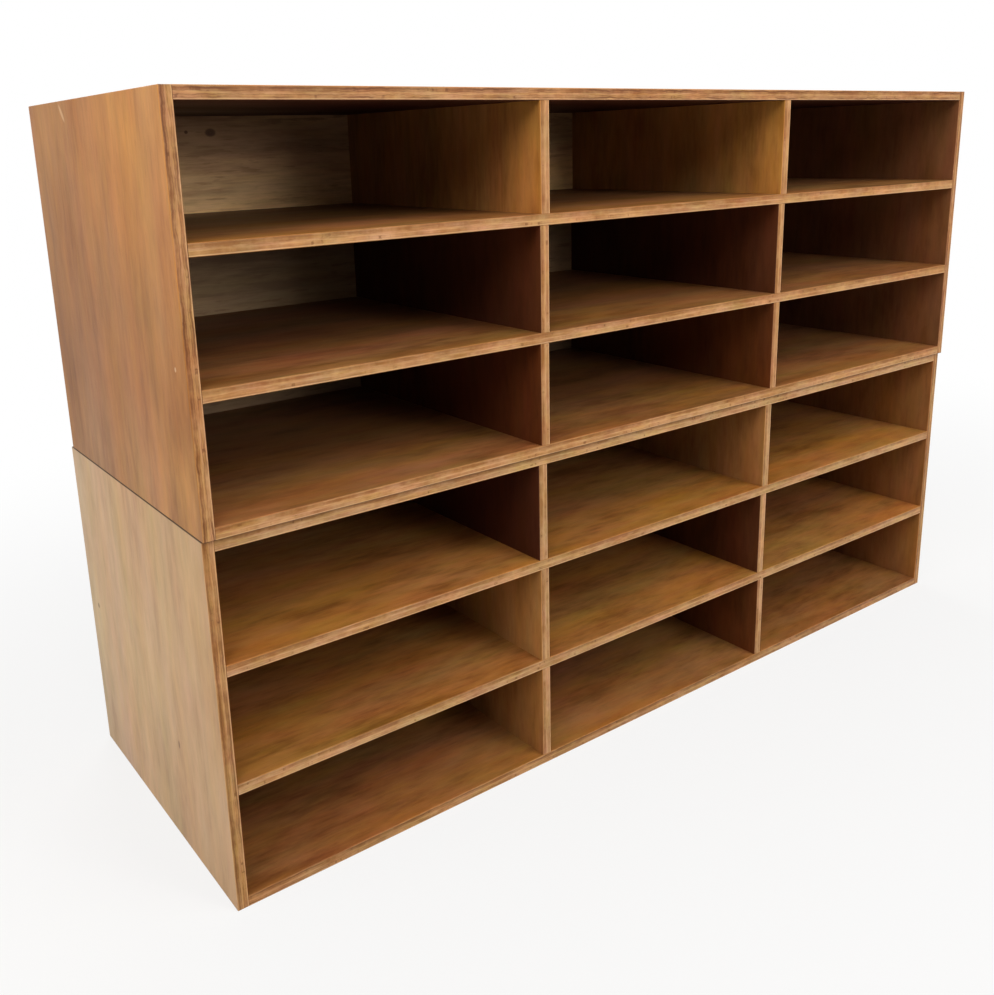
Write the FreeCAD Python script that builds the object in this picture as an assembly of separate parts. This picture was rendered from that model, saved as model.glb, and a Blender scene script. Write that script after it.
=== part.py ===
"""Pigeonhole cabinet: two open-fronted plywood cases, one stacked on the other.

Each case has three columns and three rows of openings. Its shelves run from side to side, and a
short divider stands in each row under each of its two division lines. Shelf ends and divider ends
sit in stopped housings, the outer boards are dowelled at the corners, and a thin back panel is
pinned into a pocket at the rear.

Millimetres, +Z up, front towards -Y, origin in the middle of the base of the whole stack.
"""

import FreeCAD, Part
import os

os.makedirs("parts", exist_ok=True)

# Plywood stock
board_t = 12.0
back_t = 6.0

# Clear openings of one case, and its depth over all
left_column_w = 376.0
middle_column_w = 377.0
right_column_w = 390.0
row_h = 112.0
row_count = 3
case_depth = 392.0

# Step between the two cases, which are only set one on the other: the upper one stands
# a little nearer to the front, and hardly to the right
stack_step_x = 0.5
stack_step_y = 4.5

# Stopped housings: those of the shelves in the sides, and those of the dividers in level boards
housing_depth = 4.0
divider_housing_depth = 3.0
housing_stop = 12.0
fit_gap = 0.1

# How far each divider stands to the right of its division line, from the bottom row up. They were
# set by hand, so none lines up quite with the next
lower_left_shift_shares = (0.08, 0.05, -0.07)
lower_right_shift_shares = (-0.05, -0.25, -0.07)
upper_left_shift_shares = (-0.05, 0.03, 0.16)
upper_right_shift_shares = (-0.05, 0.0, 0.22)

# Pocket of the back panel: how far the panel laps over each board, and how deep it lies
back_lap = 8.0
back_recess = 1.0

# Edges rubbed round by use
arris_r = 0.8

# Dowels that hold the top and bottom boards between the sides
dowel_d = 6.0
dowel_l = 24.0
dowel_in_side = 8.0
dowel_end_gap = 1.0
dowel_margin = 40.0
dowel_chamfer = 0.8
dowel_count = 4

# Pins that hold the back panel
pin_d = 1.6
pin_l = 25.0
pin_tip_l = 2.0
pin_head_d = 3.4
pin_head_t = 0.8
pin_column_shares = (0.25, 0.75)
pin_row_share = 0.5

# Play round dowels and pins, the overrun of every cut, and the limit for one and the same place
bore_gap = 0.05
overrun = 2.0
same_place = 0.000001

# Layout of one case, measured from its lower front left corner
column_ws = (left_column_w, middle_column_w, right_column_w)
case_w = sum(column_ws) + (len(column_ws) + 1) * board_t
case_h = row_count * row_h + (row_count + 1) * board_t
column_xs = [board_t + sum(column_ws[:i]) + i * board_t for i in range(len(column_ws))]
row_zs = [board_t + i * (row_h + board_t) for i in range(row_count)]
division_xs = [x - board_t for x in column_xs[1:]]
shelf_zs = [z - board_t for z in row_zs[1:]]
back_seat_y = case_depth - back_recess - back_t
back_lip = board_t - back_lap

ALONG_X = FreeCAD.Vector(1, 0, 0)
ALONG_Y = FreeCAD.Vector(0, 1, 0)
ALONG_Z = FreeCAD.Vector(0, 0, 1)


def block(x, y, z):
    """Box between the given (low, high) pairs."""
    corner = FreeCAD.Vector(x[0], y[0], z[0])
    return Part.makeBox(x[1] - x[0], y[1] - y[0], z[1] - z[0], corner)


def rod(radius, length, start, direction):
    """Cylinder from a start point."""
    return Part.makeCylinder(radius, length, start, direction)


def mirrored_x(shape):
    """The same shape on the other side of the case's middle."""
    return shape.mirror(FreeCAD.Vector(case_w / 2, 0, 0), ALONG_X)


def mirrored_z(shape):
    """The same shape above the case's middle height."""
    return shape.mirror(FreeCAD.Vector(0, 0, case_h / 2), ALONG_Z)


def on_planes(edge, lows, highs):
    """How many of the given planes an edge lies on, for low and high planes along X, Y and Z."""
    box = edge.BoundBox
    spans = ((box.XMin, box.XMax), (box.YMin, box.YMax), (box.ZMin, box.ZMax))
    count = 0
    for (start, end), low, high in zip(spans, lows, highs):
        count += abs(start - low) < same_place and abs(end - low) < same_place
        count += abs(start - high) < same_place and abs(end - high) < same_place
    return count


def runs_along(edge, direction):
    """Whether a straight edge runs along a direction."""
    return abs(abs(edge.tangentAt(edge.FirstParameter).dot(direction)) - 1) < same_place


def eased(board, length_direction):
    """Round the board's long front arrises and each arris on the outside of the case."""
    worn = []
    for edge in board.Edges:
        outer = on_planes(edge, (0, 0, 0), (case_w, case_depth, case_h)) > 1
        front = edge.BoundBox.YMax < same_place and runs_along(edge, length_direction)
        if outer or front:
            worn.append(edge)
    return board.makeFillet(arris_r, worn)


def back_pocket():
    """Room for the back panel, cut from the rear of all four outer boards."""
    return block(
        (back_lip, case_w - back_lip),
        (back_seat_y, case_depth + overrun),
        (back_lip, case_h - back_lip),
    )


def dowel_ys():
    """Places of the dowels of one corner, from front to rear."""
    pitch = (case_depth - dowel_margin - dowel_margin) / (dowel_count - 1)
    return [dowel_margin + i * pitch for i in range(dowel_count)]


def dowel_starts():
    """Ends of the lower left dowels inside the side board."""
    return [FreeCAD.Vector(board_t - dowel_in_side, y, board_t / 2) for y in dowel_ys()]


def dowel_bores():
    """Bores of the lower left corner, through the joint between side and bottom board."""
    bores = []
    for start in dowel_starts():
        mouth = start - ALONG_X * dowel_end_gap
        bores.append(rod(dowel_d / 2 + bore_gap, dowel_l + dowel_end_gap * 2, mouth, ALONG_X))
    return bores


def corner_dowels():
    """Dowels of all four corners."""
    lower_left = []
    for start in dowel_starts():
        dowel = rod(dowel_d / 2, dowel_l, start, ALONG_X)
        rims = [edge for edge in dowel.Edges if isinstance(edge.Curve, Part.Circle)]
        lower_left.append(dowel.makeChamfer(dowel_chamfer, rims))
    lower = lower_left + [mirrored_x(dowel) for dowel in lower_left]
    return Part.makeCompound(lower + [mirrored_z(dowel) for dowel in lower])


def divider_places(shift_shares):
    """Left faces of one case's dividers: a list for each division line, from the bottom row up."""
    return [
        [x + board_t * share for share in shares]
        for x, shares in zip(division_xs, shift_shares)
    ]


def divider_housings(places, row, z):
    """Housings in a level board for the dividers of one row, between the given heights."""
    return [
        block(
            (line[row] - fit_gap, line[row] + board_t + fit_gap),
            (housing_stop, back_seat_y + overrun),
            z,
        )
        for line in places
    ]


def housings_over(places, row):
    """Housings in the board that stands over a row."""
    z = row_zs[row] + row_h
    return divider_housings(places, row, (z - overrun, z + divider_housing_depth))


def housings_under(places, row):
    """Housings in the board that lies under a row."""
    z = row_zs[row]
    return divider_housings(places, row, (z - divider_housing_depth, z + overrun))


def level_pins(z):
    """Pin places along a level board, from the middle of its seat under the back panel."""
    return [
        (x + width * share, z)
        for x, width in zip(column_xs, column_ws)
        for share in pin_column_shares
    ]


def upright_pin(x, row):
    """Pin place in an upright board, at the middle of a row."""
    return (x, row_zs[row] + row_h * pin_row_share)


def bottom_pins():
    """Pin places along the bottom board."""
    return level_pins(board_t - back_lap / 2)


def side_pins():
    """Pin places up the left side."""
    return [upright_pin(board_t - back_lap / 2, row) for row in range(row_count)]


def all_pins(places):
    """Pin places of the whole back panel."""
    pins = bottom_pins() + [(x, case_h - z) for x, z in bottom_pins()]
    pins += side_pins() + [(case_w - x, z) for x, z in side_pins()]
    for z in shelf_zs:
        pins += level_pins(z + board_t / 2)
    for line in places:
        pins += [upright_pin(x + board_t / 2, row) for row, x in enumerate(line)]
    return pins


def pin_bores(pins):
    """Holes that the pins make in a board in front of the back panel."""
    depth = pin_l - back_t + bore_gap
    return [
        rod(pin_d / 2 + bore_gap, depth, FreeCAD.Vector(x, back_seat_y, z), -ALONG_Y)
        for x, z in pins
    ]


def back_pins(places):
    """Pins with flat heads level with the rear of the back panel."""
    head_y = back_seat_y + back_t
    pins = []
    for x, z in all_pins(places):
        top = FreeCAD.Vector(x, head_y, z)
        shank_l = pin_l - pin_tip_l
        head = rod(pin_head_d / 2, pin_head_t, top, -ALONG_Y)
        shank = rod(pin_d / 2, shank_l, top, -ALONG_Y)
        tip = Part.makeCone(pin_d / 2, 0, pin_tip_l, top - ALONG_Y * shank_l, -ALONG_Y)
        pins.append(head.fuse([shank, tip]).removeSplitter())
    return Part.makeCompound(pins)


def back_panel(places):
    """Panel inside the pocket, with its pin holes."""
    panel = block(
        (back_lip + fit_gap, case_w - back_lip - fit_gap),
        (back_seat_y, back_seat_y + back_t),
        (back_lip + fit_gap, case_h - back_lip - fit_gap),
    )
    head_y = back_seat_y + back_t
    holes = []
    for x, z in all_pins(places):
        top = FreeCAD.Vector(x, head_y, z)
        holes.append(rod(pin_d / 2 + bore_gap, back_t, top, -ALONG_Y))
        holes.append(rod(pin_head_d / 2 + bore_gap, pin_head_t, top, -ALONG_Y))
    return panel.cut(holes)


def left_side():
    """Upright side, full height, with stopped housings for the shelf ends."""
    side = eased(block((0, board_t), (0, case_depth), (0, case_h)), ALONG_Z)
    cuts = [back_pocket()]
    for z in shelf_zs:
        cuts.append(block(
            (board_t - housing_depth, board_t + overrun),
            (housing_stop, back_seat_y + overrun),
            (z - fit_gap, z + board_t + fit_gap),
        ))
    bores = dowel_bores()
    cuts += bores + [mirrored_z(bore) for bore in bores]
    cuts += pin_bores(side_pins())
    return side.cut(cuts)


def bottom_board():
    """Level board between the sides, still without housings."""
    span = (board_t, case_w - board_t)
    board = eased(block(span, (0, case_depth), (0, board_t)), ALONG_X)
    bores = dowel_bores()
    cuts = [back_pocket()] + bores + [mirrored_x(bore) for bore in bores]
    return board.cut(cuts + pin_bores(bottom_pins()))


def shelf(places, row):
    """Shelf over a row, across all columns, housed for the dividers below and above it."""
    z = shelf_zs[row]
    end_x = board_t - housing_depth + fit_gap
    board = eased(block((end_x, case_w - end_x), (0, back_seat_y), (z, z + board_t)), ALONG_X)
    shoulder = block(
        (end_x - overrun, board_t + fit_gap),
        (-overrun, housing_stop + fit_gap),
        (z - overrun, z + board_t + overrun),
    )
    cuts = [shoulder, mirrored_x(shoulder)]
    cuts += housings_over(places, row) + housings_under(places, row + 1)
    cuts += pin_bores(level_pins(z + board_t / 2))
    return board.cut(cuts)


def divider(x, row):
    """Short divider of one row. Behind its front shoulders, it runs into the housings."""
    low = row_zs[row]
    high = low + row_h
    into = divider_housing_depth - fit_gap
    board = eased(block((x, x + board_t), (0, back_seat_y), (low - into, high + into)), ALONG_Z)
    width = (x - overrun, x + board_t + overrun)
    shoulder = (-overrun, housing_stop + fit_gap)
    cuts = [
        block(width, shoulder, (low - into - overrun, low)),
        block(width, shoulder, (high, high + into + overrun)),
    ]
    return board.cut(cuts + pin_bores([upright_pin(x + board_t / 2, row)]))


def case_pieces(places):
    """Every piece of one case, by name, with its dividers at the given places."""
    last_row = row_count - 1
    pieces = {
        "left_side": left_side(),
        "right_side": mirrored_x(left_side()),
        "bottom": bottom_board().cut(housings_under(places, 0)),
        "top": mirrored_z(bottom_board()).cut(housings_over(places, last_row)),
        "back_panel": back_panel(places),
        "corner_dowels": corner_dowels(),
        "back_pins": back_pins(places),
    }
    for row, name in enumerate(("low_shelf", "high_shelf")):
        pieces[name] = shelf(places, row)
    for line_name, line in zip(("left", "right"), places):
        for row, row_name in enumerate(("bottom", "middle", "top")):
            pieces["%s_%s_divider" % (row_name, line_name)] = divider(line[row], row)
    return pieces


def case_corners():
    """Lower front left corner of each case in the frame of the whole stack."""
    x = -case_w / 2
    y = -case_depth / 2
    half_step = FreeCAD.Vector(stack_step_x / 2, -stack_step_y / 2, 0)
    return {
        "lower_case": FreeCAD.Vector(x, y, 0) - half_step,
        "upper_case": FreeCAD.Vector(x, y, case_h) + half_step,
    }


case_shift_shares = {
    "lower_case": (lower_left_shift_shares, lower_right_shift_shares),
    "upper_case": (upper_left_shift_shares, upper_right_shift_shares),
}
for case_name, corner in case_corners().items():
    pieces = case_pieces(divider_places(case_shift_shares[case_name]))
    for piece_name, piece in pieces.items():
        placed = piece.copy()
        placed.translate(corner)
        placed.exportStep("parts/%s_%s.step" % (case_name, piece_name))
        print(case_name, piece_name, len(placed.Solids), round(placed.Volume), placed.isValid())
print("case", case_w, case_depth, case_h)
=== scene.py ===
"""Looks of the pigeonhole cabinet: veneered plywood boards with worn edges, dowels and pins."""

import math

import bpy
from mathutils import Matrix, Vector


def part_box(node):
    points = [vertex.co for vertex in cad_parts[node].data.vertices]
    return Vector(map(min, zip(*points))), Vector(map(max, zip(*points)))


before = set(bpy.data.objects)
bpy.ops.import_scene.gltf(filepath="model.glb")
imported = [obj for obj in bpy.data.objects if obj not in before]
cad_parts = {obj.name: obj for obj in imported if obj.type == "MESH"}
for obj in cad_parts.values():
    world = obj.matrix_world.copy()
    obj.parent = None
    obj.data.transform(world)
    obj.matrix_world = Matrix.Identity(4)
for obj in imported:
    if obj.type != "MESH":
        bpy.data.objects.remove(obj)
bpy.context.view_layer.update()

# Photograph: its size in pixels, and where the camera stood, in metres and degrees
IMAGE_WIDTH = 994
IMAGE_HEIGHT = 995
CAMERA_PLACE = (-0.8957, -1.0136, 0.7171)
CAMERA_HEADING = 36.049
CAMERA_TILT = -14.651
CAMERA_ROLL = -1.658
FOCAL_PIXELS = 1021.8
OPTICAL_CENTRE = (470.5, 409.6)
SENSOR_WIDTH = 36.0

# Lamps: the point that they face, and how far they stand from it, in metres
LAMP_AIM = (0.0, 0.0, 0.4)
LAMP_DISTANCE = 3.0

MILLIMETRE = 0.001

# Plies of a board, from a face to its middle
FACE_PLY = 1.6 * MILLIMETRE
CROSS_PLY = 2.8 * MILLIMETRE

# Random layers of a veneer: share of the place along the grain, step of the seed, scale, detail, roughness
GROWTH = (0.2, 0.0, 6.0, 2.0)
BROAD = (0.4, 3.1, 8.0, 3.0)
PATCH = (0.35, 9.2, 32.0, 3.0)
STREAK = (0.3, 7.7, 100.0, 4.0, 0.6)
GRAIN = (0.17, 2.2, 250.0, 3.0, 0.6)
FIBRE = (0.05, 0.0, 700.0, 2.0, 0.6)
PORE = (0.1, 1.3, 800.0, 1.0)
RED_CAST = (0.35, 5.9, 14.0, 4.0, 0.75)
BLUE_CAST = (0.35, 12.4, 14.0, 4.0, 0.75)

# How far each layer moves a veneer between its dark and its light tone
BROAD_SWING = 1.0
PATCH_SWING = 1.5
STREAK_SWING = 1.6
FIBRE_SWING = 0.3
GROWTH_SWING = 0.06
GROWTH_RINGS = 80.0

# Pores: where the random value opens them, how dark they are, and the relief of grain, fibres and pores
PORE_OPENS = (0.64, 0.72)
PORE_DARKNESS = 0.35
GRAIN_RELIEF = 0.4
FIBRE_RELIEF = 0.4
PORE_RELIEF = -0.6

# How far a random cast moves the red, the green and the blue part of a colour
CAST_RED = 0.5
CAST_GREEN = -0.25
CAST_BLUE = 1.3

# Random layers of a ply edge: share of the place along the board, lift across the plies, scale, detail
WAVE = (1.0, 0.5, 40.0, 4.0)
MOTTLE = (0.4, 2.0, 260.0, 4.0)
FLECK_PATCH = (1.0, 2.0, 22.0, 3.0)
OPEN_FLECK = (0.3, 1.0, 480.0, 2.0)
BROKEN_GLUE = (0.12, 1.0, 150.0, 4.0)
EDGE_LINES = (0.04, 1.5, 520.0, 3.0)
EDGE_PATCH = (1.0, 2.0, 12.0, 4.0)
RED_EDGE_CAST = (0.2, 1.0, 80.0, 4.0, 0.75)
BLUE_EDGE_CAST = (0.2, 3.3, 110.0, 4.0, 0.75)
EDGE_CAST = 0.9

# Where random values start and end patches of flecks, open flecks and breaks of the glue line
PATCH_OPENS = (0.42, 0.56)
FLECK_OPENS = (0.6, 0.7)
GLUE_BREAKS = (0.32, 0.6)

# Waves of the plies: their least height, and what a fully worn edge adds
LEAST_WAVE = 2 * MILLIMETRE
WORN_WAVE = 4 * MILLIMETRE

# Shade of an edge between its pale and its deep tone: start, cross plies, lean to one arris, random layers
EDGE_SHADE = 0.35
CROSS_SHADE = 0.2
LEAN_SHADE = 0.4
MOTTLE_SWING = 1.2
LINE_SWING = 1.9
EDGE_PATCH_SWING = 1.4
MOTTLE_RELIEF = 0.25
FLECK_RELIEF = -1.0

# Plies, glue line, fine line and pale arris line (worn wood and partly a painted highlight): half widths
# and soft borders
PLY_BORDER = 0.6 * MILLIMETRE
GLUE_HALF = 0.2 * MILLIMETRE
GLUE_BORDER = 1.4 * MILLIMETRE
LINE_HALF = 0.1 * MILLIMETRE
LINE_BORDER = 0.8 * MILLIMETRE
RUBBED_HIGHLIGHT_MIDDLE = 0.7 * MILLIMETRE
RUBBED_HIGHLIGHT_HALF = 0.3 * MILLIMETRE
RUBBED_HIGHLIGHT_BORDER = 0.6 * MILLIMETRE

# How strongly each detail of a ply edge covers the wood below it
FLECK_COVER = 0.7
LINE_COVER = 0.8
GLUE_COVER = 0.85
RUBBED_HIGHLIGHT_COVER = 0.35


def tone(red, green, blue):
    """Colour as it looks on a screen, from 0 to 255, as the linear values that shaders take."""
    linear = []
    for share in (red / 255, green / 255, blue / 255):
        linear.append(share / 12.92 if share <= 0.04045 else ((share + 0.055) / 1.055) ** 2.4)
    return (*linear, 1.0)


# Places of the colour sockets on a mixing node
MIX_SHARE = 0
MIX_FIRST = 6
MIX_SECOND = 7
MIX_RESULT = 2

# Pale wood at the arrises, worn bare and partly a painted highlight, and a dark line in the seam of the
# two cases, dirt and painted shade
RUBBED_AND_HIGHLIT_WOOD = tone(208, 168, 128)
SEAM_DIRT_AND_SHADE = tone(52, 30, 18)

# Shader building

def wire(tree, socket, value):
    """Feed a socket from another one, or set it to a plain value."""
    if isinstance(value, bpy.types.NodeSocket):
        tree.links.new(value, socket)
    else:
        socket.default_value = value


def add(tree, kind, settings=None, **sockets):
    """New shader node with its settings and its named sockets filled in."""
    made = tree.nodes.new("ShaderNode" + kind)
    for name, value in (settings or {}).items():
        setattr(made, name, value)
    for name, value in sockets.items():
        wire(tree, made.inputs[name.replace("_", " ")], value)
    return made


def sums(tree, operation, *values):
    """Result of one arithmetic step."""
    made = add(tree, "Math", {"operation": operation})
    for socket, value in zip(made.inputs, values):
        wire(tree, socket, value)
    return made.outputs["Value"]


def point(tree, x, y, z):
    """Vector put together from three values."""
    return add(tree, "CombineXYZ", X=x, Y=y, Z=z).outputs["Vector"]


def noise(tree, vector, scale, detail, roughness=0.5):
    """Smooth random value from 0 to 1."""
    made = add(tree, "TexNoise", Vector=vector, Scale=scale, Detail=detail, Roughness=roughness)
    return made.outputs["Fac"]


def ramp(tree, value, low, high, shape="LINEAR"):
    """Straight step from 0 at low to 1 at high, or one of another shape."""
    made = add(tree, "MapRange", {"interpolation_type": shape},
               Value=value, From_Min=low, From_Max=high)
    return made.outputs["Result"]


def rise(tree, value, low, high):
    """Soft step from 0 at low to 1 at high."""
    return ramp(tree, value, low, high, "SMOOTHSTEP")


def band(tree, value, middle, half, blur):
    """Soft stripe: 1 within half of the middle, and 0 beyond that and the blur."""
    from_middle = sums(tree, "ABSOLUTE", sums(tree, "SUBTRACT", value, middle))
    return sums(tree, "SUBTRACT", 1.0, rise(tree, from_middle, half, half + blur))


def blend(tree, share, first, second, way="MIX"):
    """Two colours mixed by a share."""
    made = add(tree, "Mix", {"data_type": "RGBA", "blend_type": way})
    wire(tree, made.inputs[MIX_SHARE], share)
    wire(tree, made.inputs[MIX_FIRST], first)
    wire(tree, made.inputs[MIX_SECOND], second)
    return made.outputs[MIX_RESULT]


def new_group(name, inputs, outputs):
    """Empty node group with its sockets, and its inputs by name."""
    group = bpy.data.node_groups.new(name, "ShaderNodeTree")
    for kind, sockets in (("INPUT", inputs), ("OUTPUT", outputs)):
        for socket_name, socket_kind in sockets:
            group.interface.new_socket(socket_name, in_out=kind, socket_type="NodeSocket" + socket_kind)
    start = group.nodes.new("NodeGroupInput")
    end = group.nodes.new("NodeGroupOutput")
    return group, start.outputs, end.inputs


def use_group(tree, group, **sockets):
    """Results of a group fed with values."""
    return add(tree, "Group", {"node_tree": group}, **sockets).outputs


def swing(tree, value, width, start):
    """Start value with a random value's departure from its middle added."""
    return sums(tree, "MULTIPLY_ADD", sums(tree, "SUBTRACT", value, 0.5), width, start)


def hued(tree, colour, redder, bluer, strength):
    """Colour made redder or greener, and bluer or more golden, by two random values."""
    redder = sums(tree, "MULTIPLY", sums(tree, "SUBTRACT", redder, 0.5), strength)
    bluer = sums(tree, "MULTIPLY", sums(tree, "SUBTRACT", bluer, 0.5), strength)
    red = sums(tree, "MULTIPLY_ADD", redder, CAST_RED, 1.0)
    green = sums(tree, "MULTIPLY_ADD", redder, CAST_GREEN, 1.0)
    blue = sums(tree, "MULTIPLY_ADD", bluer, CAST_BLUE, 1.0)
    return blend(tree, 1.0, colour, point(tree, red, green, blue), "MULTIPLY")


def veneer_group():
    """Sliced veneer: growth figure, patches, streaks, fibres and open pores along the grain."""
    group, given, result = new_group(
        "veneer",
        [("Along", "Float"), ("Across", "Float"), ("Seed", "Float"), ("Figure", "Float"),
         ("Fine", "Float"), ("Cast", "Float"), ("Dark", "Color"), ("Middle", "Color"),
         ("Light", "Color")],
        [("Colour", "Color"), ("Height", "Float")],
    )

    def cloud(stretch, step, scale, detail, roughness=0.5):
        """Random value drawn out along the grain."""
        along = sums(group, "MULTIPLY", given["Along"], stretch)
        layer = sums(group, "ADD", given["Seed"], step)
        return noise(group, point(group, given["Across"], along, layer), scale, detail, roughness)

    growth = sums(group, "SINE", sums(group, "MULTIPLY", cloud(*GROWTH), GROWTH_RINGS))
    streak = cloud(*STREAK)
    grain = cloud(*GRAIN)
    fibre = cloud(*FIBRE)
    pore = rise(group, cloud(*PORE), *PORE_OPENS)
    value = swing(group, cloud(*BROAD), BROAD_SWING, 0.5)
    value = swing(group, cloud(*PATCH), PATCH_SWING, value)
    value = swing(group, streak, sums(group, "MULTIPLY", given["Fine"], STREAK_SWING), value)
    value = swing(group, grain, given["Fine"], value)
    value = swing(group, fibre, sums(group, "MULTIPLY", given["Fine"], FIBRE_SWING), value)
    figure = sums(group, "MULTIPLY", growth, given["Figure"])
    value = sums(group, "MULTIPLY_ADD", figure, GROWTH_SWING, value)
    darker = blend(group, ramp(group, value, 0.0, 0.5), given["Dark"], given["Middle"])
    colour = blend(group, ramp(group, value, 0.5, 1.0), darker, given["Light"])
    colour = hued(group, colour, cloud(*RED_CAST), cloud(*BLUE_CAST), given["Cast"])
    colour = blend(group, sums(group, "MULTIPLY", pore, PORE_DARKNESS), colour, given["Dark"])
    height = sums(group, "MULTIPLY", fibre, FIBRE_RELIEF)
    height = sums(group, "MULTIPLY_ADD", grain, GRAIN_RELIEF, height)
    height = sums(group, "MULTIPLY_ADD", pore, PORE_RELIEF, height)
    wire(group, result["Colour"], colour)
    wire(group, result["Height"], height)
    return group


def ply_edge_group():
    """Sanded edge of plywood: plies with flecks, a broken glue line, and a pale line along one arris that
    is worn wood and partly a painted highlight.
    """
    group, given, result = new_group(
        "ply edge",
        [("Along", "Float"), ("Other", "Float"), ("Depth", "Float"), ("Lean", "Float"),
         ("Seed", "Float"), ("Wear", "Float"), ("Pale", "Color"), ("Deep", "Color"),
         ("Fleck", "Color")],
        [("Colour", "Color"), ("Height", "Float")],
    )
    depth, lean = given["Depth"], given["Lean"]
    layer = sums(group, "ADD", given["Other"], given["Seed"])

    def cloud(stretch, lift, scale, detail, roughness=0.6):
        """Random value drawn out along the board and across its plies."""
        along = sums(group, "MULTIPLY", given["Along"], stretch)
        up = sums(group, "MULTIPLY", sums(group, "MULTIPLY", depth, lean), lift)
        return noise(group, point(group, along, up, layer), scale, detail, roughness)

    waves = sums(group, "MULTIPLY_ADD", given["Wear"], WORN_WAVE, LEAST_WAVE)
    level = swing(group, cloud(*WAVE), waves, depth)
    half_cross = CROSS_PLY / 2
    cross = band(group, level, FACE_PLY + half_cross, half_cross - PLY_BORDER, 2 * PLY_BORDER)
    mottle = cloud(*MOTTLE)
    patch = rise(group, cloud(*FLECK_PATCH), *PATCH_OPENS)
    fleck = rise(group, cloud(*OPEN_FLECK), *FLECK_OPENS)
    fleck = sums(group, "MULTIPLY", fleck, sums(group, "MULTIPLY", cross, patch))
    broken = rise(group, cloud(*BROKEN_GLUE), *GLUE_BREAKS)
    glue = band(group, level, FACE_PLY + PLY_BORDER, GLUE_HALF, GLUE_BORDER)
    glue_cover = sums(group, "MULTIPLY", given["Wear"], GLUE_COVER)
    glue = sums(group, "MULTIPLY", sums(group, "MULTIPLY", glue, broken), glue_cover)
    line = band(group, level, FACE_PLY + CROSS_PLY, LINE_HALF, LINE_BORDER)
    line = sums(group, "MULTIPLY", line, sums(group, "MULTIPLY", mottle, given["Wear"]))
    # Pale line near the arris where Lean is negative, the lower arris of level boards and the right arris
    # of uprights: worn wood and partly a painted highlight
    rubbed_highlight = band(group, depth, RUBBED_HIGHLIGHT_MIDDLE, RUBBED_HIGHLIGHT_HALF, RUBBED_HIGHLIGHT_BORDER)
    rubbed_highlight = sums(group, "MULTIPLY", rubbed_highlight, sums(group, "MULTIPLY_ADD", lean, -0.5, 0.5))

    share = sums(group, "MULTIPLY_ADD", lean, LEAN_SHADE, EDGE_SHADE)
    share = sums(group, "MULTIPLY_ADD", cross, CROSS_SHADE, share)
    share = swing(group, mottle, MOTTLE_SWING, share)
    share = swing(group, cloud(*EDGE_LINES), LINE_SWING, share)
    share = swing(group, cloud(*EDGE_PATCH), EDGE_PATCH_SWING, share)
    clamped = add(group, "Clamp", Value=share).outputs["Result"]
    colour = blend(group, clamped, given["Pale"], given["Deep"])
    colour = hued(group, colour, cloud(*RED_EDGE_CAST), cloud(*BLUE_EDGE_CAST), EDGE_CAST)
    colour = blend(group, sums(group, "MULTIPLY", fleck, FLECK_COVER), colour, given["Fleck"])
    colour = blend(group, sums(group, "MULTIPLY", line, LINE_COVER), colour, given["Fleck"])
    colour = blend(group, glue, colour, given["Fleck"])
    colour = blend(group, sums(group, "MULTIPLY", rubbed_highlight, RUBBED_HIGHLIGHT_COVER), colour, RUBBED_AND_HIGHLIT_WOOD)
    height = sums(group, "MULTIPLY", mottle, MOTTLE_RELIEF)
    height = sums(group, "MULTIPLY_ADD", fleck, FLECK_RELIEF, height)
    wire(group, result["Colour"], colour)
    wire(group, result["Height"], height)
    return group


VENEER = veneer_group()
PLY_EDGE = ply_edge_group()


class Veneer:
    """Tones of one veneer from its middle one, and how strong and how long its figure and grain are."""

    def __init__(self, red, green, blue, figure=0.6, contrast=0.7, cast=1.0, fine=0.75, length=1.4):
        self.middle = tone(red, green, blue)
        self.dark = self.shade(1 - 0.42 * contrast, 1 - 0.5 * contrast, 1 - 0.55 * contrast)
        self.light = self.shade(1 + 0.3 * contrast, 1 + 0.36 * contrast, 1 + 0.36 * contrast)
        self.figure = figure
        self.cast = cast
        self.fine = fine
        self.length = length

    def shade(self, red, green, blue):
        """Middle tone with its three parts made stronger or weaker."""
        return (self.middle[0] * red, self.middle[1] * green, self.middle[2] * blue, 1.0)


# Veneers of the outer faces: middle tone, figure, contrast, casts of colour, depth and length of grain
RED_TEAK = Veneer(176, 121, 68, 0.9, 0.8, 0.65, 0.55, 1.5)
PALE_TEAK = Veneer(195, 159, 117, 0.4, 0.55, 0.5, 0.55, 1.5)
# Veneers of the shelves
UMBER = Veneer(134, 89, 48, 0.6, 0.95, 1.4, 0.75, 1.35)
OCHRE = Veneer(148, 99, 49, 0.6, 0.95, 1.4, 0.75, 1.35)
# Veneers of the dividers and of the inner faces of the sides
HONEY = Veneer(179, 124, 65, 0.9)
AMBER = Veneer(149, 106, 58, 0.9)
GOLDEN = Veneer(162, 116, 66, 0.9)
RUSSET = Veneer(97, 53, 26)
MAHOGANY = Veneer(81, 43, 24)
OXBLOOD = Veneer(90, 46, 22)
PLUM = Veneer(66, 32, 20)
CHESTNUT = Veneer(117, 74, 43)
BRONZE = Veneer(141, 92, 50)
# Veneer of the back panels
BACK_PLY = Veneer(190, 151, 106, 1.6, 0.8, 0.55, 0.9, 2.2)
KNOT_DARK = tone(58, 34, 20)
KNOT_LIGHT = tone(104, 66, 40)

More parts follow.
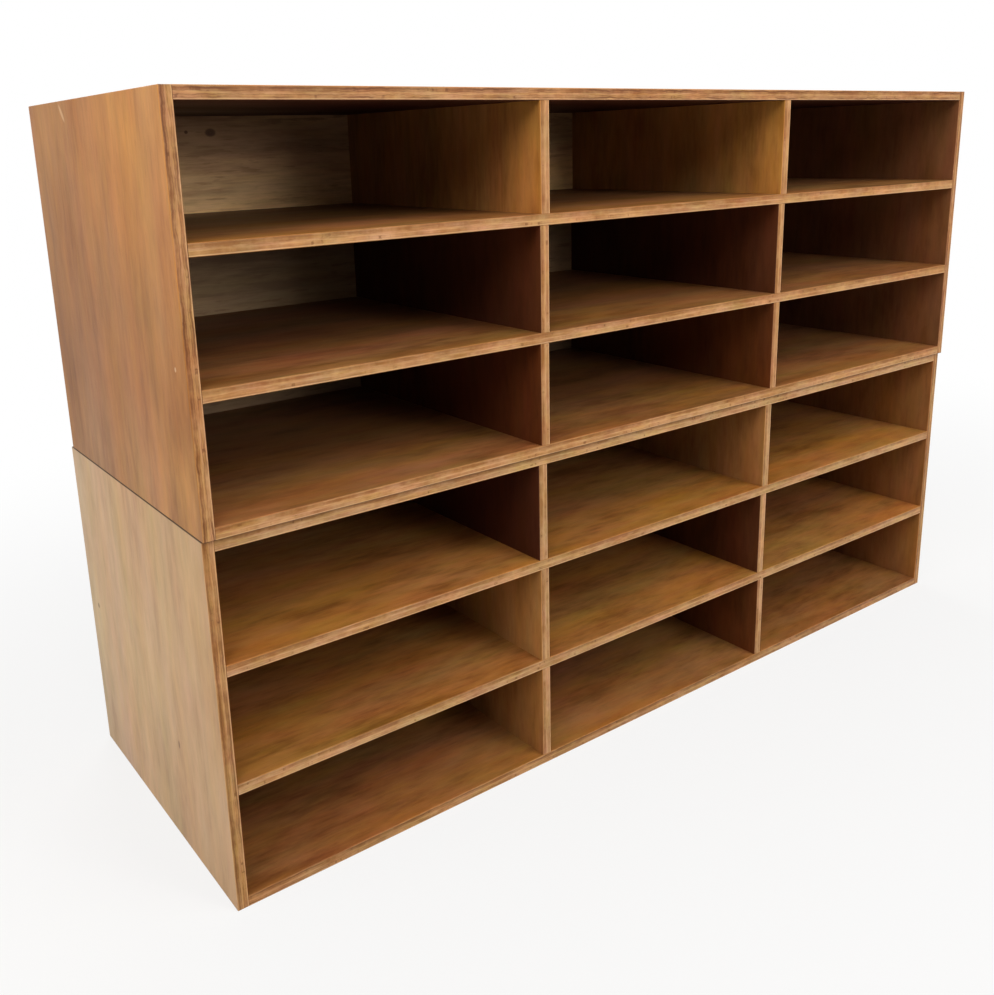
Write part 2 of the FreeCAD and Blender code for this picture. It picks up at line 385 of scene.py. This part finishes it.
# Board edges, inside a case and on its outside: wear, pale plies, cross plies and open flecks
INNER_EDGES = {
    "upper_case": (0.4, tone(180, 135, 89), tone(134, 86, 43), tone(104, 62, 28)),
    "lower_case": (0.4, tone(180, 139, 95), tone(136, 92, 50), tone(102, 64, 32)),
}
OUTER_EDGES = {
    "upper_case": (1.0, tone(174, 128, 82), tone(131, 83, 43), tone(92, 50, 22)),
    "lower_case": (0.8, tone(175, 131, 84), tone(131, 87, 46), tone(94, 56, 26)),
}
OUTER_BOARDS = ("left_side", "right_side", "upper_case_top", "lower_case_bottom")

# Tints by depth behind the front in metres, and of the outer faces also by height above the case's base.
# On the inner faces they are painted light near the front and painted shade deeper in; on the outer faces
# they are partly the wood's own tints and partly painted light and shade
INSIDE_PAINTED_LIGHT_AND_SHADE = ((0.0, (1.12, 1.08, 0.98, 1)), (0.12, (0.92, 0.91, 0.95, 1)), (0.36, (0.76, 0.81, 1.05, 1)))
# Outer faces by depth: partly the wood's own paler and darker zones, partly painted light and shade
OUTSIDE_FADE_AND_SHADE = {
    "upper_case": ((0.0, (1.1, 1.07, 0.98, 1)), (0.11, (1.02, 0.96, 0.88, 1)),
                   (0.36, (0.79, 0.76, 0.82, 1))),
    "lower_case": ((0.02, (0.95, 0.89, 0.87, 1)), (0.11, (1.02, 1, 0.97, 1)),
                   (0.2, (1.06, 1.03, 1.02, 1)), (0.37, (1.04, 1.08, 1.22, 1))),
}
# Outer faces of uprights by height: partly the wood's own tints, partly painted light and shade
HEIGHT_FADE_AND_SHADE = {
    "upper_case": ((0.03, (1, 1.08, 1.2, 1)), (0.11, (0.88, 0.85, 0.84, 1)),
                   (0.19, (0.9, 0.9, 0.87, 1)), (0.27, (1.03, 1, 0.95, 1)),
                   (0.35, (1.15, 1.13, 1.09, 1))),
    "lower_case": ((0.0, (0.97, 0.97, 0.98, 1)), (0.19, (1.03, 1.03, 1.03, 1))),
}

# Tints of the inner face of a back panel by height above the case's base, row by row: painted light and
# shade, darker in the lower rows and bright at the foot of the top row
BACK_PAINTED_LIGHT_AND_SHADE = ((0.12, (0.4, 0.38, 0.37, 1)), (0.14, (0.62, 0.6, 0.57, 1)), (0.248, (0.36, 0.35, 0.34, 1)),
             (0.26, (1.6, 1.62, 1.5, 1)), (0.3, (1.3, 1.28, 1.2, 1)), (0.34, (0.8, 0.78, 0.78, 1)))

# Marks on the outer faces of the sides: depth behind the front, height, size in millimetres, and turn
SIDE_MARKS = (
    ("upper_case_left_side", 24.5, 536, (4, 5), 0.0, tone(226, 190, 150)),
    ("upper_case_left_side", 270.5, 756, (24, 6), 0.84, tone(216, 174, 128)),
    ("lower_case_left_side", 121, 123, (5, 10), 0.0, tone(112, 78, 50)),
    ("lower_case_left_side", 363, 191, (7, 7), 0.0, tone(112, 78, 50)),
)

# Soft rim of a mark or a knot, as shares of its half size
SPOT_RIM = (0.6, 1.15)

# Knots of the back panels: distance from the case's left face, height above its base, size in millimetres
KNOTS = {
    "upper_case": ((201, 353, (14.6, 10.4)), (171, 354, (5, 4.4)), (655, 210, (11, 8)),
                   (930, 318, (9, 12))),
    "lower_case": ((262, 118, (9, 7)), (818, 262, (12, 9)), (1045, 71, (5, 4))),
}

# Finish of the boards: shine, roughness, relief, and how far in from a face its edge starts and is full
BOARD_SHINE = 0.15
WORN_SCALE = 12.0
WORN_STRETCH = 0.3
SMOOTHEST = 0.34
ROUGHER_BY = 0.3
BOARD_RELIEF = 0.08 * MILLIMETRE
EDGE_STARTS = 0.2 * MILLIMETRE
EDGE_FULL = 0.9 * MILLIMETRE

# Dark line in the seam of the two cases, dirt and painted shade, and how strongly it and the side marks
# cover the wood
SEAM_SHADE_HALF = 0.3 * MILLIMETRE
SEAM_SHADE_BLUR = 0.9 * MILLIMETRE
SEAM_SHADE_COVER = 0.85
MARK_COVER = 0.7

# Finish of the back panels, and of the small dowels and pins
DASH_STRETCH = 0.12
DASH_SCALE = 200.0
DASH_OPENS = (0.56, 0.68)
DASH_COVER = 0.85
KNOT_COVER = 0.85
KNOT_RINGS = 14.0
BACK_RELIEF = 0.15 * MILLIMETRE
BACK_ROUGHNESS = 0.75
DOWEL_SCALE = 1400.0
RUST_SCALE = 700.0
SMALL_RELIEF = 0.05 * MILLIMETRE

# Steps of the seed from case to case, from board to board and from an inner to an outer face
CASE_STEP = 20.0
BOARD_STEP = 1.7
OUTER_FACE_STEP = 0.9
BACK_SEED = 50.0

# Boards of each case with the veneer of their visible faces, and of the outer one where it differs
BOARDS = {
    "upper_case": {
        "left_side": (CHESTNUT, RED_TEAK),
        "right_side": (CHESTNUT, RED_TEAK),
        "top": (PLUM, RED_TEAK),
        "bottom": (UMBER, UMBER),
        "low_shelf": (UMBER, UMBER),
        "high_shelf": (UMBER, UMBER),
        "bottom_left_divider": (OXBLOOD, OXBLOOD),
        "bottom_right_divider": (RUSSET, RUSSET),
        "middle_left_divider": (MAHOGANY, MAHOGANY),
        "middle_right_divider": (MAHOGANY, MAHOGANY),
        "top_left_divider": (HONEY, HONEY),
        "top_right_divider": (HONEY, HONEY),
    },
    "lower_case": {
        "left_side": (BRONZE, PALE_TEAK),
        "right_side": (BRONZE, PALE_TEAK),
        "top": (OCHRE, OCHRE),
        "bottom": (UMBER, UMBER),
        "low_shelf": (OCHRE, OCHRE),
        "high_shelf": (OCHRE, OCHRE),
        "bottom_left_divider": (AMBER, AMBER),
        "bottom_right_divider": (RUSSET, RUSSET),
        "middle_left_divider": (GOLDEN, GOLDEN),
        "middle_right_divider": (MAHOGANY, MAHOGANY),
        "top_left_divider": (PLUM, PLUM),
        "top_right_divider": (AMBER, AMBER),
    },
}


def new_material(name):
    """Material with its tree, its shader and its Object coordinates split in three."""
    material = bpy.data.materials.new(name)
    material.use_nodes = True
    tree = material.node_tree
    shader = tree.nodes["Principled BSDF"]
    place = add(tree, "TexCoord").outputs["Object"]
    return material, tree, shader, add(tree, "SeparateXYZ", Vector=place).outputs


def bump(tree, shader, height, depth):
    """Relief of a finish, with its depth in metres."""
    made = add(tree, "Bump", Height=height, Distance=depth, Strength=1.0)
    wire(tree, shader.inputs["Normal"], made.outputs["Normal"])


def veneered(tree, axes, along, across, seed, veneer):
    """Colour and relief of one veneered face."""
    drawn = sums(tree, "DIVIDE", axes[along], veneer.length)
    return use_group(tree, VENEER, Along=drawn, Across=axes[across], Seed=seed, Figure=veneer.figure,
                     Fine=veneer.fine, Cast=veneer.cast, Dark=veneer.dark, Middle=veneer.middle,
                     Light=veneer.light)


def spot(tree, first, second, centre, size, turn=0.0):
    """Oval mark on a plane: 1 inside and 0 outside, with its distance from the middle to its rim."""
    made = add(tree, "Mapping", {"vector_type": "TEXTURE"}, Vector=point(tree, first, second, 0.0),
               Location=(*centre, 0.0), Rotation=(0.0, 0.0, turn), Scale=(size[0] / 2, size[1] / 2, 1.0))
    away = add(tree, "VectorMath", {"operation": "LENGTH"})
    wire(tree, away.inputs[0], made.outputs["Vector"])
    outside = rise(tree, away.outputs["Value"], *SPOT_RIM)
    return sums(tree, "SUBTRACT", 1.0, outside), away.outputs["Value"]


def painted_light_and_fade(tree, colour, place, stops):
    """Colour multiplied by tints, each at its place along a line: painted light and shade, and on outer
    faces partly the wood's own fading.
    """
    (last_place, tint), *others = stops
    for next_place, next_tint in others:
        tint = blend(tree, ramp(tree, place, last_place, next_place), tint, next_tint)
        last_place = next_place
    return blend(tree, 1.0, colour, tint, "MULTIPLY")


def marked(tree, axes, node, colour):
    """Outer colour of a side with its few spots and scuffs, at their depth and height."""
    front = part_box(node)[0].y
    for side, deep_in, height, size, turn, mark in SIDE_MARKS:
        if side == node:
            centre = (front + deep_in * MILLIMETRE, height * MILLIMETRE)
            inside, _ = spot(tree, axes["Y"], axes["Z"], centre, [n * MILLIMETRE for n in size], turn)
            colour = blend(tree, sums(tree, "MULTIPLY", inside, MARK_COVER), colour, mark)
    return colour


def board_material(node, case, inner, outer, seed):
    """Veneered plywood of one board: veneer on its faces, sanded plies on its edges."""
    material, tree, shader, axes = new_material(node)
    low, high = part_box(node)
    upright = high.x - low.x < high.z - low.z
    thick, grain, across = ("X", "Z", "Y") if upright else ("Z", "X", "Y")
    index = "XYZ".index(thick)
    middle = (low[index] + high[index]) / 2
    half = (high[index] - low[index]) / 2
    from_middle = sums(tree, "SUBTRACT", axes[thick], middle)
    depth = sums(tree, "SUBTRACT", half, sums(tree, "ABSOLUTE", from_middle))

    face = veneered(tree, axes, grain, across, seed, inner)
    behind = sums(tree, "SUBTRACT", axes["Y"], low.y)
    # Inner faces: painted light near the front and painted shade deeper in
    colour = painted_light_and_fade(tree, face["Colour"], behind, INSIDE_PAINTED_LIGHT_AND_SHADE)
    relief = face["Height"]
    if outer is not inner:
        towards = -1.0 if node.endswith("left_side") else 1.0
        outside = sums(tree, "GREATER_THAN", sums(tree, "MULTIPLY", from_middle, towards), 0.0)
        far_face = veneered(tree, axes, grain, across, seed + OUTER_FACE_STEP, outer)
        above = sums(tree, "SUBTRACT", axes["Z"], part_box(case + "_left_side")[0].z)
        # Outer faces: tints by depth, and on uprights by height, partly the wood's own and partly painted
        # light and shade
        far_colour = painted_light_and_fade(tree, far_face["Colour"], behind, OUTSIDE_FADE_AND_SHADE[case])
        if upright:
            far_colour = painted_light_and_fade(tree, far_colour, above, HEIGHT_FADE_AND_SHADE[case])
        colour = blend(tree, outside, colour, marked(tree, axes, node, far_colour))
        relief = blend(tree, outside, relief, far_face["Height"])
    wear, pale, deep, fleck = (OUTER_EDGES if node.endswith(OUTER_BOARDS) else INNER_EDGES)[case]
    lean = sums(tree, "MULTIPLY", from_middle, (-1.0 if upright else 1.0) / half)
    edge = use_group(tree, PLY_EDGE, Along=axes[grain], Other=axes[across], Depth=depth, Lean=lean,
                     Seed=seed, Wear=wear, Pale=pale, Deep=deep, Fleck=fleck)
    on_edge = rise(tree, depth, EDGE_STARTS, EDGE_FULL)
    colour = blend(tree, on_edge, colour, edge["Colour"])
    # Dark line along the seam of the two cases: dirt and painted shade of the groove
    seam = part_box("lower_case_top")[1].z
    if min(abs(low.z - seam), abs(high.z - seam)) < MILLIMETRE:
        seam_dirt_and_shade = band(tree, axes["Z"], seam, SEAM_SHADE_HALF, SEAM_SHADE_BLUR)
        colour = blend(tree, sums(tree, "MULTIPLY", seam_dirt_and_shade, SEAM_SHADE_COVER), colour, SEAM_DIRT_AND_SHADE)
    wire(tree, shader.inputs["Base Color"], colour)
    relief = sums(tree, "ADD", relief, sums(tree, "MULTIPLY", on_edge, edge["Height"]))
    bump(tree, shader, relief, BOARD_RELIEF)
    shader.inputs["Specular IOR Level"].default_value = BOARD_SHINE
    worn_along = sums(tree, "MULTIPLY", axes[grain], WORN_STRETCH)
    worn_place = point(tree, axes[across], worn_along, seed)
    worn = noise(tree, worn_place, WORN_SCALE, 4.0)
    wire(tree, shader.inputs["Roughness"], sums(tree, "MULTIPLY_ADD", worn, ROUGHER_BY, SMOOTHEST))
    return material


def back_material(case, seed):
    """Unpolished softwood plywood of a back panel, with dark dashes, small knots, and painted light and
    shade by height on its inner face.
    """
    node = case + "_back_panel"
    material, tree, shader, axes = new_material(node)
    face = veneered(tree, axes, "X", "Z", seed, BACK_PLY)
    dash_place = point(tree, sums(tree, "MULTIPLY", axes["X"], DASH_STRETCH), axes["Y"], axes["Z"])
    dash = rise(tree, noise(tree, dash_place, DASH_SCALE, 3.0, 0.6), *DASH_OPENS)
    colour = blend(tree, sums(tree, "MULTIPLY", dash, DASH_COVER), face["Colour"], BACK_PLY.dark)
    relief = face["Height"]
    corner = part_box(case + "_left_side")[0]
    low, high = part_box(node)
    # Inner face: painted light and shade by height, row by row
    above = sums(tree, "SUBTRACT", axes["Z"], corner.z)
    inside_case = sums(tree, "LESS_THAN", axes["Y"], (low.y + high.y) / 2)
    colour = blend(tree, inside_case, colour, painted_light_and_fade(tree, colour, above, BACK_PAINTED_LIGHT_AND_SHADE))
    for right, up, size in KNOTS[case]:
        centre = (corner.x + right * MILLIMETRE, corner.z + up * MILLIMETRE)
        inside, away = spot(tree, axes["X"], axes["Z"], centre, [n * MILLIMETRE for n in size])
        ring = sums(tree, "SINE", sums(tree, "MULTIPLY", away, KNOT_RINGS))
        rings = blend(tree, sums(tree, "MULTIPLY_ADD", ring, 0.25, 0.5), KNOT_DARK, KNOT_LIGHT)
        colour = blend(tree, sums(tree, "MULTIPLY", inside, KNOT_COVER), colour, rings)
        relief = sums(tree, "SUBTRACT", relief, sums(tree, "MULTIPLY", inside, 0.5))
    wire(tree, shader.inputs["Base Color"], colour)
    bump(tree, shader, relief, BACK_RELIEF)
    shader.inputs["Roughness"].default_value = BACK_ROUGHNESS
    return material


def dowel_material():
    """Beech dowels with end grain flecks."""
    material, tree, shader, axes = new_material("beech_dowel")
    place = point(tree, sums(tree, "MULTIPLY", axes["X"], 0.1), axes["Y"], axes["Z"])
    grain = noise(tree, place, DOWEL_SCALE, 3.0, 0.6)
    wire(tree, shader.inputs["Base Color"], blend(tree, grain, tone(190, 150, 108), tone(220, 186, 142)))
    wire(tree, shader.inputs["Roughness"], sums(tree, "MULTIPLY_ADD", grain, 0.2, 0.55))
    bump(tree, shader, grain, SMALL_RELIEF)
    return material


def pin_material():
    """Dull steel pins with spots of brown rust."""
    material, tree, shader, axes = new_material("steel_pin")
    place = point(tree, axes["X"], axes["Y"], axes["Z"])
    rust = rise(tree, noise(tree, place, RUST_SCALE, 3.0, 0.65), 0.5, 0.62)
    wire(tree, shader.inputs["Base Color"], blend(tree, rust, tone(150, 148, 144), tone(96, 58, 36)))
    wire(tree, shader.inputs["Metallic"], sums(tree, "MULTIPLY_ADD", rust, -0.85, 0.95))
    wire(tree, shader.inputs["Roughness"], sums(tree, "MULTIPLY_ADD", rust, 0.4, 0.42))
    bump(tree, shader, rust, SMALL_RELIEF)
    return material


def dress(node, material):
    """Give a node of the frame its one material."""
    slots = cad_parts[node].data.materials
    slots.clear()
    slots.append(material)


beech = dowel_material()
steel = pin_material()
for case_number, (case_name, boards) in enumerate(BOARDS.items()):
    for board_number, (board, (inner_veneer, outer_veneer)) in enumerate(boards.items()):
        board_node = case_name + "_" + board
        board_seed = CASE_STEP * case_number + BOARD_STEP * board_number
        dress(board_node, board_material(board_node, case_name, inner_veneer, outer_veneer, board_seed))
    dress(case_name + "_back_panel", back_material(case_name, BACK_SEED + case_number))
    dress(case_name + "_corner_dowels", beech)
    dress(case_name + "_back_pins", steel)


# Studio: camera, floor, lamps and surroundings

WHITE = (1, 1, 1, 1)
ROOM_LIGHT = 0.125

# Floor: its width in metres, its tone, and its glow beside the cabinet and far from it
FLOOR_WIDTH = 30
FLOOR_TONE = tone(214, 212, 208)
NEAR_GLOW = 0.78
FAR_GLOW = 1.0
GLOW_STARTS = 0.3
GLOW_FULL = 1.6
GLOW_NARROWING = 0.7

# Lamps: name, heading from the front and height in degrees, size in metres, power in watts
LAMPS = (
    ("left_lamp", -65, 40, (1.6, 1.6), 26),
    ("near_left_lamp", -35, 40, (1.6, 1.6), 26),
    ("right_lamp", 30, 40, (1.6, 1.6), 33),
    ("front_lamp", 12, 20, (1.2, 1.2), 18),
    ("low_lamp", 16, 11, (1.0, 0.6), 24),
    ("side_lamp", -92, 22, (1.6, 1.6), 15),
    ("rear_lamp", 165, 35, (1.6, 1.6), 40),
)


def photo_camera():
    """Camera at the photograph's place, turned by heading, tilt and roll."""
    data = bpy.data.cameras.new("photo_camera")
    camera = bpy.data.objects.new("photo_camera", data)
    bpy.context.scene.collection.objects.link(camera)
    turn = (Matrix.Rotation(math.radians(-CAMERA_HEADING), 4, "Z")
            @ Matrix.Rotation(math.radians(90 + CAMERA_TILT), 4, "X")
            @ Matrix.Rotation(math.radians(CAMERA_ROLL), 4, "Z"))
    camera.matrix_world = Matrix.Translation(CAMERA_PLACE) @ turn
    data.sensor_fit = "HORIZONTAL"
    data.sensor_width = SENSOR_WIDTH
    data.lens = SENSOR_WIDTH * FOCAL_PIXELS / IMAGE_WIDTH
    data.shift_x = (IMAGE_WIDTH / 2 - OPTICAL_CENTRE[0]) / IMAGE_WIDTH
    data.shift_y = (OPTICAL_CENTRE[1] - IMAGE_HEIGHT / 2) / IMAGE_WIDTH
    data.clip_start = 0.05
    bpy.context.scene.camera = camera


def background_ray(tree):
    """Whether a ray shows the background, straight, in a shine or through something clear."""
    path = add(tree, "LightPath").outputs
    shine = sums(tree, "MAXIMUM", path["Is Glossy Ray"], path["Is Transmission Ray"])
    return sums(tree, "MAXIMUM", path["Is Camera Ray"], shine)


def pale_floor():
    """Wide pale floor that keeps the cabinet's soft shadow."""
    bpy.ops.object.select_all(action="DESELECT")
    bpy.ops.mesh.primitive_plane_add(size=FLOOR_WIDTH, location=(0, 0, 0))
    floor = bpy.context.object
    floor.name = "floor"
    material, tree, shader, axes = new_material("pale_floor")
    shader.inputs["Base Color"].default_value = FLOOR_TONE
    shader.inputs["Roughness"].default_value = 0.9
    glow = add(tree, "Emission", Color=WHITE, Strength=1.0)
    seen = background_ray(tree)
    middle = point(tree, sums(tree, "MULTIPLY", axes["X"], GLOW_NARROWING), axes["Y"], 0.0)
    away = add(tree, "VectorMath", {"operation": "LENGTH"})
    wire(tree, away.inputs[0], middle)
    far = rise(tree, away.outputs["Value"], GLOW_STARTS, GLOW_FULL)
    fade = sums(tree, "MULTIPLY_ADD", far, FAR_GLOW - NEAR_GLOW, NEAR_GLOW)
    mixed = add(tree, "MixShader")
    wire(tree, mixed.inputs[0], sums(tree, "MULTIPLY", seen, fade))
    wire(tree, mixed.inputs[1], shader.outputs["BSDF"])
    wire(tree, mixed.inputs[2], glow.outputs["Emission"])
    wire(tree, tree.nodes["Material Output"].inputs["Surface"], mixed.outputs["Shader"])
    floor.data.materials.append(material)


def lamp(name, heading, lift, size, power):
    """Soft lamp aimed at the cabinet, by its heading from the front and its height as an angle."""
    data = bpy.data.lights.new(name, "AREA")
    data.shape = "RECTANGLE"
    data.size, data.size_y = size
    data.energy = power
    made = bpy.data.objects.new(name, data)
    aim = Vector(LAMP_AIM)
    turn = Matrix.Rotation(math.radians(heading), 3, "Z") @ Matrix.Rotation(math.radians(-lift), 3, "X")
    made.location = aim + turn @ Vector((0, -LAMP_DISTANCE, 0))
    made.rotation_euler = (aim - made.location).to_track_quat("-Z", "Y").to_euler()
    bpy.context.scene.collection.objects.link(made)


def surroundings():
    """White as a background, and an even dim light to everything else."""
    world = bpy.context.scene.world or bpy.data.worlds.new("surroundings")
    bpy.context.scene.world = world
    world.use_nodes = True
    tree = world.node_tree
    tree.nodes.clear()
    room = add(tree, "Background", Color=WHITE, Strength=ROOM_LIGHT)
    white = add(tree, "Background", Color=WHITE, Strength=1.0)
    mixed = add(tree, "MixShader")
    wire(tree, mixed.inputs[0], background_ray(tree))
    wire(tree, mixed.inputs[1], room.outputs["Background"])
    wire(tree, mixed.inputs[2], white.outputs["Background"])
    output = add(tree, "OutputWorld")
    wire(tree, output.inputs["Surface"], mixed.outputs["Shader"])


bpy.context.scene.view_settings.view_transform = "Standard"
photo_camera()
pale_floor()
for lamp_settings in LAMPS:
    lamp(*lamp_settings)
surroundings()
